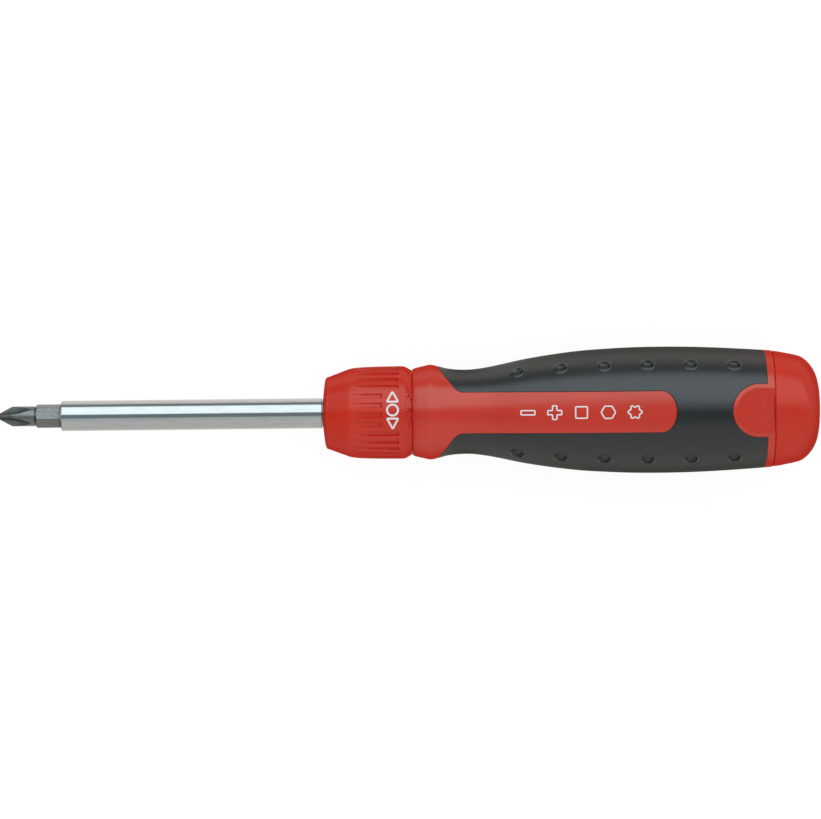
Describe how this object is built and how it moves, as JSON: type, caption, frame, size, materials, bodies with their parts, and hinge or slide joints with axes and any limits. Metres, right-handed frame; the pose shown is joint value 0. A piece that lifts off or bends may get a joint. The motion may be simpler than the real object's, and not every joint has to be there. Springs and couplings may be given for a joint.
{
  "type": "ratcheting screwdriver",
  "caption": "Ratcheting screwdriver with a fluted selector collar, a soft dimpled grip, a hexagonal bit socket and a pull-out store of double-ended bits under a spinning palm cap.",
  "frame": {"origin": "on the tool's axis, in the plane of the shaft's nose, where the bit enters its socket", "axes": "+X along the tool from the bit towards the palm cap, +Z out of the handle's long panel and the collar's selector marks"},
  "size_m": [0.2486, 0.0382, 0.0382],
  "materials": {
    "bit_steel": "manganese phosphated, dark grey, satin",
    "nickel_shaft": "nickel plated, satin bright, round the shaft",
    "red_nylon": "red glass-filled nylon, satin",
    "black_rubber": "black thermoplastic elastomer, fine matt grain",
    "hardened_steel": "ground and oiled",
    "spring_steel": "bright wire and strip",
    "zinc_casting": "die-cast zinc, as cast",
    "bearing_bronze": "oil-filled sintered bronze",
    "grey_acetal": "light grey acetal, satin"
  },
  "bodies": {
    "handle": {"handle_core": "red_nylon", "soft_grip": "black_rubber", "ratchet_housing": "zinc_casting", "housing_sleeve": "hardened_steel", "shaft_bushing": "bearing_bronze", "thrust_washer": "hardened_steel", "collar_snap_ring": "spring_steel", "detent_leaf": "spring_steel", "forward_pawl_spring": "spring_steel", "reverse_pawl_spring": "spring_steel", "store_stop_ring": "grey_acetal"},
    "driver": {"shaft": "nickel_shaft", "ratchet_wheel": "hardened_steel", "bit_clip_ring": "spring_steel", "shaft_circlip": "spring_steel"},
    "bit": {"working_bit": "bit_steel"},
    "selector": {"selector_collar": "red_nylon", "cam_ring": "hardened_steel"},
    "pawl_forward": {"forward_pawl": "hardened_steel"},
    "pawl_reverse": {"reverse_pawl": "hardened_steel"},
    "store": {"bit_store": "grey_acetal", "cap_washer": "hardened_steel", "cap_snap_ring": "spring_steel", "stored_bit_1": "bit_steel", "stored_bit_2": "bit_steel", "stored_bit_3": "bit_steel", "stored_bit_4": "bit_steel", "stored_bit_5": "bit_steel", "stored_bit_6": "bit_steel"},
    "cap": {"palm_cap": "red_nylon"}
  },
  "joints": [
    {"name": "shaft_spin", "type": "hinge", "parent": "handle", "child": "driver", "pos_m": [0.1, 0, 0], "axis": [1, 0, 0], "continuous": true},
    {"name": "bit_pull", "type": "slide", "parent": "driver", "child": "bit", "axis": [-1, 0, 0], "range_m": [0, 0.03]},
    {"name": "collar_select", "type": "hinge", "parent": "handle", "child": "selector", "pos_m": [0.09, 0, 0], "axis": [1, 0, 0], "range_deg": [-17, 17], "deforming": ["detent_leaf"]},
    {"name": "forward_pawl_slide", "type": "slide", "parent": "handle", "child": "pawl_forward", "axis": [0, 0, 1], "range_m": [-0.0005, 0.0005], "deforming": ["forward_pawl_spring"]},
    {"name": "reverse_pawl_slide", "type": "slide", "parent": "handle", "child": "pawl_reverse", "axis": [0, 0, 1], "range_m": [-0.0005, 0.0005], "deforming": ["reverse_pawl_spring"]},
    {"name": "store_slide", "type": "slide", "parent": "handle", "child": "store", "axis": [1, 0, 0], "range_m": [0, 0.042]},
    {"name": "cap_spin", "type": "hinge", "parent": "store", "child": "cap", "pos_m": [0.222, 0, 0], "axis": [1, 0, 0], "continuous": true}
  ],
  "couplings": [
    {"joint": "forward_pawl_slide", "follows": "collar_select", "m_per_rad": 0.001684},
    {"joint": "reverse_pawl_slide", "follows": "collar_select", "m_per_rad": 0.001684}
  ]
}
